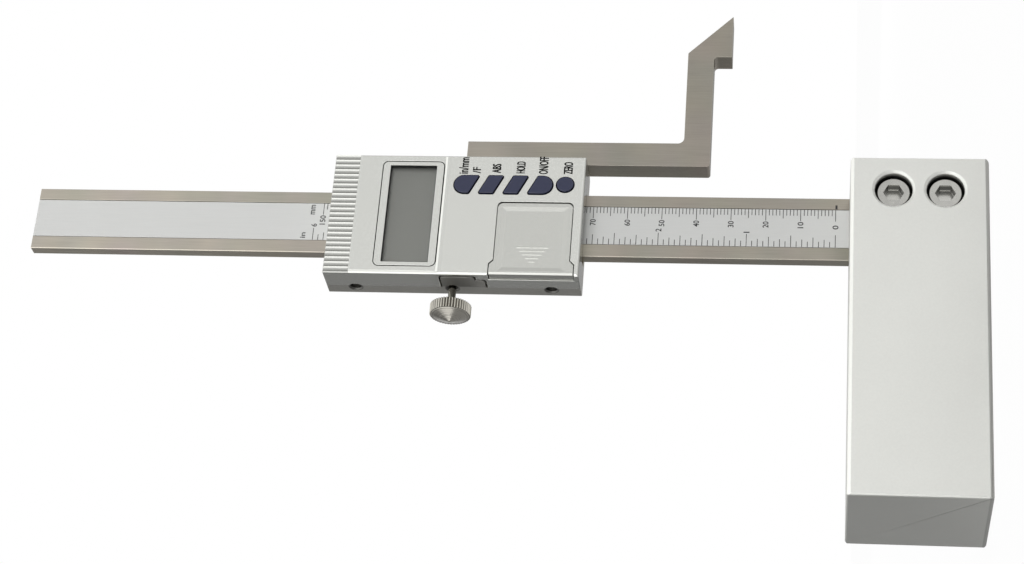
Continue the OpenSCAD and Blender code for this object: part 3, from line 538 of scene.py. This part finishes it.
def skin(node, name, width, segments, material=None, own_width=None):
    """The CAD node's own form with its sharp edges rounded, which stands for the node.

    own_width gives another rounding for the edges whose middle it picks out, and 0 leaves an
    edge sharp. All of these are in millimetres."""
    form = bmesh.new()
    source = NODES[node].data
    form.from_mesh(source)
    normal = form.loops.layers.float_vector.new("source_normal")
    index = 0
    for face in form.faces:
        for loop in face.loops:
            loop[normal] = source.corner_normals[index].vector
            index += 1
    bmesh.ops.remove_doubles(form, verts=form.verts, dist=WELD)
    for edge in form.edges:
        edge.smooth = not parted(edge, normal)
    bmesh.ops.dissolve_limit(form, angle_limit=SAME_PLANE, verts=form.verts,
                             edges=form.edges, delimit={"SHARP"})
    form.loops.layers.float_vector.remove(normal)
    weight = form.edges.layers.float.new("bevel_weight_edge")
    for edge in form.edges:
        if len(edge.link_faces) == 2 and edge.calc_face_angle(0.0) > EDGE_ANGLE:
            middle = (edge.verts[0].co + edge.verts[1].co) / (2 * MM)
            rounding = own_width(middle) if own_width else None
            if rounding is None:
                rounding = width
            edge[weight] = rounding / MOST_ROUND
            edge.smooth = rounding > 0
    mesh = mesh_of(name, form)
    for extra in ("custom_normal", "sharp_face"):
        if extra in mesh.attributes:
            mesh.attributes.remove(mesh.attributes[extra])
    for polygon in mesh.polygons:
        polygon.use_smooth = True
    obj = linked(name, mesh)
    edges = obj.modifiers.new("edges", "BEVEL")
    edges.width = MOST_ROUND * MM
    edges.segments = segments
    edges.limit_method = "WEIGHT"
    edges.use_clamp_overlap = False
    edges.harden_normals = True
    slot = SLOT_OF[node]
    return settle(obj, BODY_OF[node], slot, material or MATERIALS[slot], node)


def cover_edges(middle):
    """Wide rounding round the cut for the lock boss, a fine one on the grip, none at the seam."""
    x, y, z = middle
    if y > -1:
        return 0.0
    if -21 < x < -20 and y < -1.2 and 140.9 < z < 155.2:
        return MOST_ROUND
    if z > GRIP_Z and y < -8:
        return 0.03
    if (x < -19 or x > 18) and y < -8.4:
        return 0.22
    return None


def frame_edges(middle):
    """No rounding at the seam with the cover."""
    return 0.0 if abs(middle.y - SEAM_Y) < 0.05 else None


def block_edges(middle):
    """No rounding at the cut along the foot, where it would run out past the foot."""
    return 0.0 if middle.y < -22 and middle.z < 1.6 else None


# Each node's new name, its rounding in millimetres and the rounding's steps
SKINS = {
    "base_block": ("block", 0.15, 3),
    "base_screws": ("clamp_screws", 0.1, 2),
    "beam": ("beam_bar", 0.1, 2),
    "scale_plate": ("scale_strip", 0.04, 1),
    "slider_frame": ("head_frame", 0.1, 2),
    "measuring_arm": ("arm", 0.12, 2),
    "arm_screws": ("arm_bolts", 0.08, 2),
    "gib_screws": ("gib_set_screws", 0.05, 2),
    "lock_screw": ("lock_knob", 0.05, 2),
    "front_cover": ("cover", 0.12, 2),
    "window_bezel": ("bezel", 0.12, 2),
    "battery_cover": ("battery_lid", 0.1, 2),
}
for key in ("units", "abs", "hold", "power", "zero"):
    SKINS["button_" + key] = (key + "_key", 0.25, 3)
OWN_WIDTH = {"front_cover": cover_edges, "slider_frame": frame_edges, "base_block": block_edges}
OWN_MATERIAL = {"battery_cover": LID}
for node, (name, width, segments) in SKINS.items():
    skin(node, name, width, segments, OWN_MATERIAL.get(node), OWN_WIDTH.get(node))
for node, obj in NODES.items():
    if node not in SKINS:
        obj.data.materials[0] = MATERIALS[SLOT_OF[node]]


# The display's lining and pane, in metres

BEZEL_END = 1.2 * MM
BEZEL_SIDE = 2.1 * MM
LINING_T = 0.12 * MM
LINING_DEPTH = 1.25 * MM
PANE_GAP = 0.03 * MM


def lining(name, node, body):
    """A thin black frame against the walls of the opening in the node's middle."""
    low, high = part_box(node)
    x0, x1 = low.x + BEZEL_END, high.x - BEZEL_END
    z0, z1 = low.z + BEZEL_SIDE, high.z - BEZEL_SIDE
    y0, y1 = low.y + LINING_T, low.y + LINING_DEPTH
    form = bmesh.new()
    outer = [(x0, z0), (x1, z0), (x1, z1), (x0, z1)]
    inner = [(x0 + LINING_T, z0 + LINING_T), (x1 - LINING_T, z0 + LINING_T),
             (x1 - LINING_T, z1 - LINING_T), (x0 + LINING_T, z1 - LINING_T)]
    rings = [[form.verts.new((x, y, z)) for x, z in ring] for ring, y in
             ((outer, y0), (inner, y0), (inner, y1), (outer, y1))]
    for a, b in zip(rings, rings[1:] + rings[:1]):
        for i in range(4):
            form.faces.new((a[i], a[(i + 1) % 4], b[(i + 1) % 4], b[i]))
    bmesh.ops.recalc_face_normals(form, faces=form.faces)
    return inked(name, form, body)


def pane(name, node, body):
    """The node's own box, a hair thinner at the back so that light leaves it before the display."""
    low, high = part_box(node)
    form = bmesh.new()
    add_box(form, low, (high.x, high.y - PANE_GAP, high.z))
    slot = SLOT_OF[node]
    return settle(linked(name, mesh_of(name, form)), body, slot, MATERIALS[slot], node)


lining("window_mask", "window_bezel", "head")
pane("window_pane", "display_window", "head")


# Printing, in millimetres

INK_T = 0.02
LINE_W = 0.19
PLATE_LOW, PLATE_HIGH = [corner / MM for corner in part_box("scale_plate")]
PLATE_FRONT = PLATE_LOW.y
BEAM_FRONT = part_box("beam")[0].y / MM
MM_EDGE = PLATE_HIGH.x - 0.05
INCH_EDGE = PLATE_LOW.x + 0.05
SIXTEENTHS = 16
# Line lengths, by how many divisions lie between such lines
MM_TICKS = {10: 3.7, 5: 2.9, 1: 1.95}
INCH_TICKS = {16: 4.0, 8: 3.7, 4: 3.15, 2: 2.45, 1: 1.8}


def printed(name, boxes, body):
    """Flat bars of ink; each box is x0, x1, z0, z1 and the y of its face."""
    form = bmesh.new()
    for x0, x1, z0, z1, y in boxes:
        add_box(form, Vector((x0, y - INK_T, z0)) * MM, Vector((x1, y, z1)) * MM)
    return inked(name, form, body)


def flat_text(text):
    """A mesh of the text in the stock typeface, a little bolder."""
    curve = bpy.data.curves.new("text", "FONT")
    curve.body = text
    curve.extrude = 0.5
    curve.offset = 0.012
    curve.resolution_u = 3
    made = linked("text", curve)
    bpy.context.view_layer.update()
    flat = bpy.data.meshes.new_from_object(
        made.evaluated_get(bpy.context.evaluated_depsgraph_get()))
    bpy.data.objects.remove(made)
    bpy.data.curves.remove(curve)
    return flat


def lettered(name, items, body):
    """Words of ink; each item is a text, x0, x1, its middle z, its height and the y of its face."""
    form = bmesh.new()
    for text, x0, x1, z, height, y in items:
        flat = flat_text(text)
        xs = [v.co.x for v in flat.vertices]
        ys = [v.co.y for v in flat.vertices]
        wide, tall = max(xs) - min(xs), max(ys) - min(ys)
        for v in flat.vertices:
            v.co = Vector((x0 + (v.co.x - min(xs)) / wide * (x1 - x0),
                           y - INK_T * (0.5 + v.co.z),
                           z + ((v.co.y - min(ys)) / tall - 0.5) * height)) * MM
        form.from_mesh(flat)
        bpy.data.meshes.remove(flat)
    bmesh.ops.recalc_face_normals(form, faces=form.faces)
    return inked(name, form, body)


def divisions(edge, side, pitch, count, lengths):
    """Lines from an edge of the plate towards the given side, from zero up."""
    lines = []
    for step in range(count + 1):
        length = next(lengths[every] for every in lengths if step % every == 0)
        x0, x1 = sorted((edge, edge + side * length))
        z = ZERO_Z + step * pitch
        lines.append((x0, x1, z - LINE_W / 2, z + LINE_W / 2, PLATE_FRONT))
    return lines


printed("scale_divisions", divisions(MM_EDGE, -1, 1.0, 150, MM_TICKS)
        + divisions(INCH_EDGE, 1, INCH / SIXTEENTHS, 6 * SIXTEENTHS, INCH_TICKS), "base")

FIGURE_H = 1.7
FIGURE_W = 1.02
NARROW_W = 0.35
INCH_FIGURE_W = 1.0
MM_FIGURE_X = MM_EDGE - MM_TICKS[10] - 0.3
INCH_FIGURE_X = INCH_EDGE + INCH_TICKS[16] + 0.4
ZERO_X = (MM_EDGE - MM_TICKS[10] - 2.6, MM_EDGE - MM_TICKS[10] - 1.3)

figures = []
for value in range(10, 151, 10):
    wide = FIGURE_W * len(str(value))
    figures.append((str(value), MM_FIGURE_X - wide, MM_FIGURE_X, ZERO_Z + value, FIGURE_H,
                    PLATE_FRONT))
figures.append(("0", *ZERO_X, ZERO_Z, FIGURE_H, PLATE_FRONT))
for value in range(1, 7):
    wide = NARROW_W if value == 1 else INCH_FIGURE_W
    figures.append((str(value), INCH_FIGURE_X, INCH_FIGURE_X + wide, ZERO_Z + value * INCH,
                    FIGURE_H, PLATE_FRONT))
figures.append(("mm", MM_EDGE - 3.7, MM_EDGE - 0.5, ZERO_Z + 153.2, 1.3, PLATE_FRONT))
figures.append(("in", INCH_EDGE + 0.6, INCH_EDGE + 2.4, ZERO_Z + 155.4, 1.5, PLATE_FRONT))
lettered("scale_figures", figures, "base")

printed("zero_mark", [(PLATE_HIGH.x + 0.2, PLATE_HIGH.x + 1.5, ZERO_Z - 0.5, ZERO_Z + 0.1,
                       BEAM_FRONT)], "base")

# Each word's x0, x1, middle z and height, and how far its bold copies lie to each side
LABELS = [("in/mm", 12.75, 18.2, 150.1, 2.8, 0.05), ("/F", 12.95, 15.0, 146.2, 2.4, 0.04),
          ("ABS", 13.1, 16.1, 140.35, 2.6, 0.07), ("HOLD", 13.1, 17.0, 133.25, 2.6, 0.07),
          ("ON/OFF", 12.9, 18.7, 126.6, 2.7, 0.06), ("ZERO", 13.0, 16.95, 119.35, 2.65, 0.07)]
lettered("key_labels", [(text, low + shift, high + shift, z, height, COVER_FRONT)
                        for text, low, high, z, height, bold in LABELS
                        for shift in (-bold, 0.0, bold)], "head")


# Floor, light and camera

FLOOR_HALF = 3.0
FLOOR_DROP = 0.1 * MM
GLOSSY_AHEAD = (0.45, -0.89, 0.0)
SOFT_LIGHT = ((0.8, -0.5, 0.3), -0.8, 0.6, 0.03, 0.5)
# What shiny faces show: a direction, how far towards it the area starts and is full, and its levels
SHINY_AREAS = (
    ((0.0, -1.0, 0.0), -0.9, 0.85, 0.22, 0.92),
    ((-0.94, -0.34, 0.0), 0.5, 0.75, 0.0, 1.25),
    ((-0.6, -0.8, 0.0), 0.45, 0.85, 0.0, 0.25),
    ((0.0, 0.0, 1.0), 0.55, 0.8, 0.0, 1.0),
    ((0.5, 0.85, 0.1), 0.6, 0.9, 0.0, 0.45),
)
LAMP_AIM = Vector((0.0, 0.0, 0.13))
LAMP_REACH = 1.5


def stage_floor():
    """A pale floor, white to the camera but for a little shadow, and in shiny faces a graded glow,
    brighter than white in places, that stands in for a lamp.
    """
    half = FLOOR_HALF
    mesh = bpy.data.meshes.new("floor")
    mesh.from_pydata([(-half, -half, 0), (half, -half, 0), (half, half, 0), (-half, half, 0)],
                     [], [(0, 1, 2, 3)])
    floor = linked("floor", mesh)
    floor.location.z = -FLOOR_DROP
    made = bpy.data.materials.new("pale_floor")
    made.use_nodes = True
    tree = made.node_tree
    path = tree.nodes.new("ShaderNodeLightPath")
    to_camera = path.outputs["Is Camera Ray"]
    to_shiny = path.outputs["Is Glossy Ray"]
    place = tree.nodes.new("ShaderNodeNewGeometry")
    ahead = along(tree, place.outputs["Position"], GLOSSY_AHEAD)
    shader = tree.nodes["Principled BSDF"]
    shader.inputs["Roughness"].default_value = 0.9
    tone = mapped(tree, to_camera, 0.0, 1.0, 0.35, 1.0)
    link(tree, tinted(tree, (0.95, 0.95, 0.95), tone), shader.inputs["Base Color"])
    extra = multiply(tree, mapped(tree, ahead, 0.1, 0.18, 0.0, 0.6),
                     mapped(tree, ahead, 0.27, 0.36, 1.0, 0.0))
    strength = add(tree, multiply(tree, to_shiny, extra), 1.0)
    glow = white_light(tree, "ShaderNodeEmission", strength)
    shiny_share = multiply(tree, mapped(tree, ahead, -0.15, 0.1, 0.3, 1.0),
                           mapped(tree, ahead, 0.27, 0.36, 1.0, 0.8))
    share = add(tree, multiply(tree, to_camera, 0.97), multiply(tree, to_shiny, shiny_share))
    link(tree, mixed(tree, share, shader.outputs["BSDF"], glow),
         tree.nodes["Material Output"].inputs["Surface"])
    mesh.materials.append(made)


def studio_world():
    """Soft light all round, graded soft areas in shiny faces, and a white background."""
    world = bpy.data.worlds.new("studio")
    bpy.context.scene.world = world
    world.use_nodes = True
    tree = world.node_tree
    tree.nodes.clear()
    place = tree.nodes.new("ShaderNodeTexCoord")
    path = tree.nodes.new("ShaderNodeLightPath")

    def area(direction, start, full, low, high):
        reach = along(tree, place.outputs["Generated"], Vector(direction).normalized())
        return mapped(tree, reach, start, full, low, high)

    level = area(*SHINY_AREAS[0])
    for values in SHINY_AREAS[1:]:
        level = add(tree, level, area(*values))
    soft = white_light(tree, "ShaderNodeBackground", area(*SOFT_LIGHT))
    mirror = white_light(tree, "ShaderNodeBackground", level)
    white = white_light(tree, "ShaderNodeBackground", 1.0)
    shiny = most(tree, [path.outputs["Is Glossy Ray"], path.outputs["Is Transmission Ray"]])
    lit = mixed(tree, shiny, soft, mirror)
    out = tree.nodes.new("ShaderNodeOutputWorld")
    link(tree, mixed(tree, path.outputs["Is Camera Ray"], lit, white), out.inputs["Surface"])


def lamp(name, direction, size, power):
    """A soft square lamp towards a direction, which shiny faces don't show."""
    light = bpy.data.lights.new(name, "AREA")
    light.shape = "SQUARE"
    light.size = size
    light.energy = power
    obj = linked(name, light)
    obj.visible_glossy = False
    offset = Vector(direction).normalized() * LAMP_REACH
    obj.location = LAMP_AIM + offset
    obj.rotation_euler = (-offset).to_track_quat("-Z", "Y").to_euler()


stage_floor()
studio_world()
lamp("key", (0.2, -0.95, 0.2), 1.0, 12.0)
lamp("high", (0.4, -0.25, 0.85), 0.5, 1.6)
lamp("back", (0.55, 0.8, 0.25), 0.8, 4.0)

camera = bpy.data.cameras.new("camera")
camera.sensor_width = 36.0
camera.lens = 85.869
camera.clip_start = 0.01
view = linked("camera", camera)
view.location = (-0.34059, -0.62166, 0.04409)
view.rotation_euler = [math.radians(angle) for angle in (172.40465, 82.58226, 54.90769)]
bpy.context.scene.camera = view
bpy.context.scene.view_settings.view_transform = "Standard"
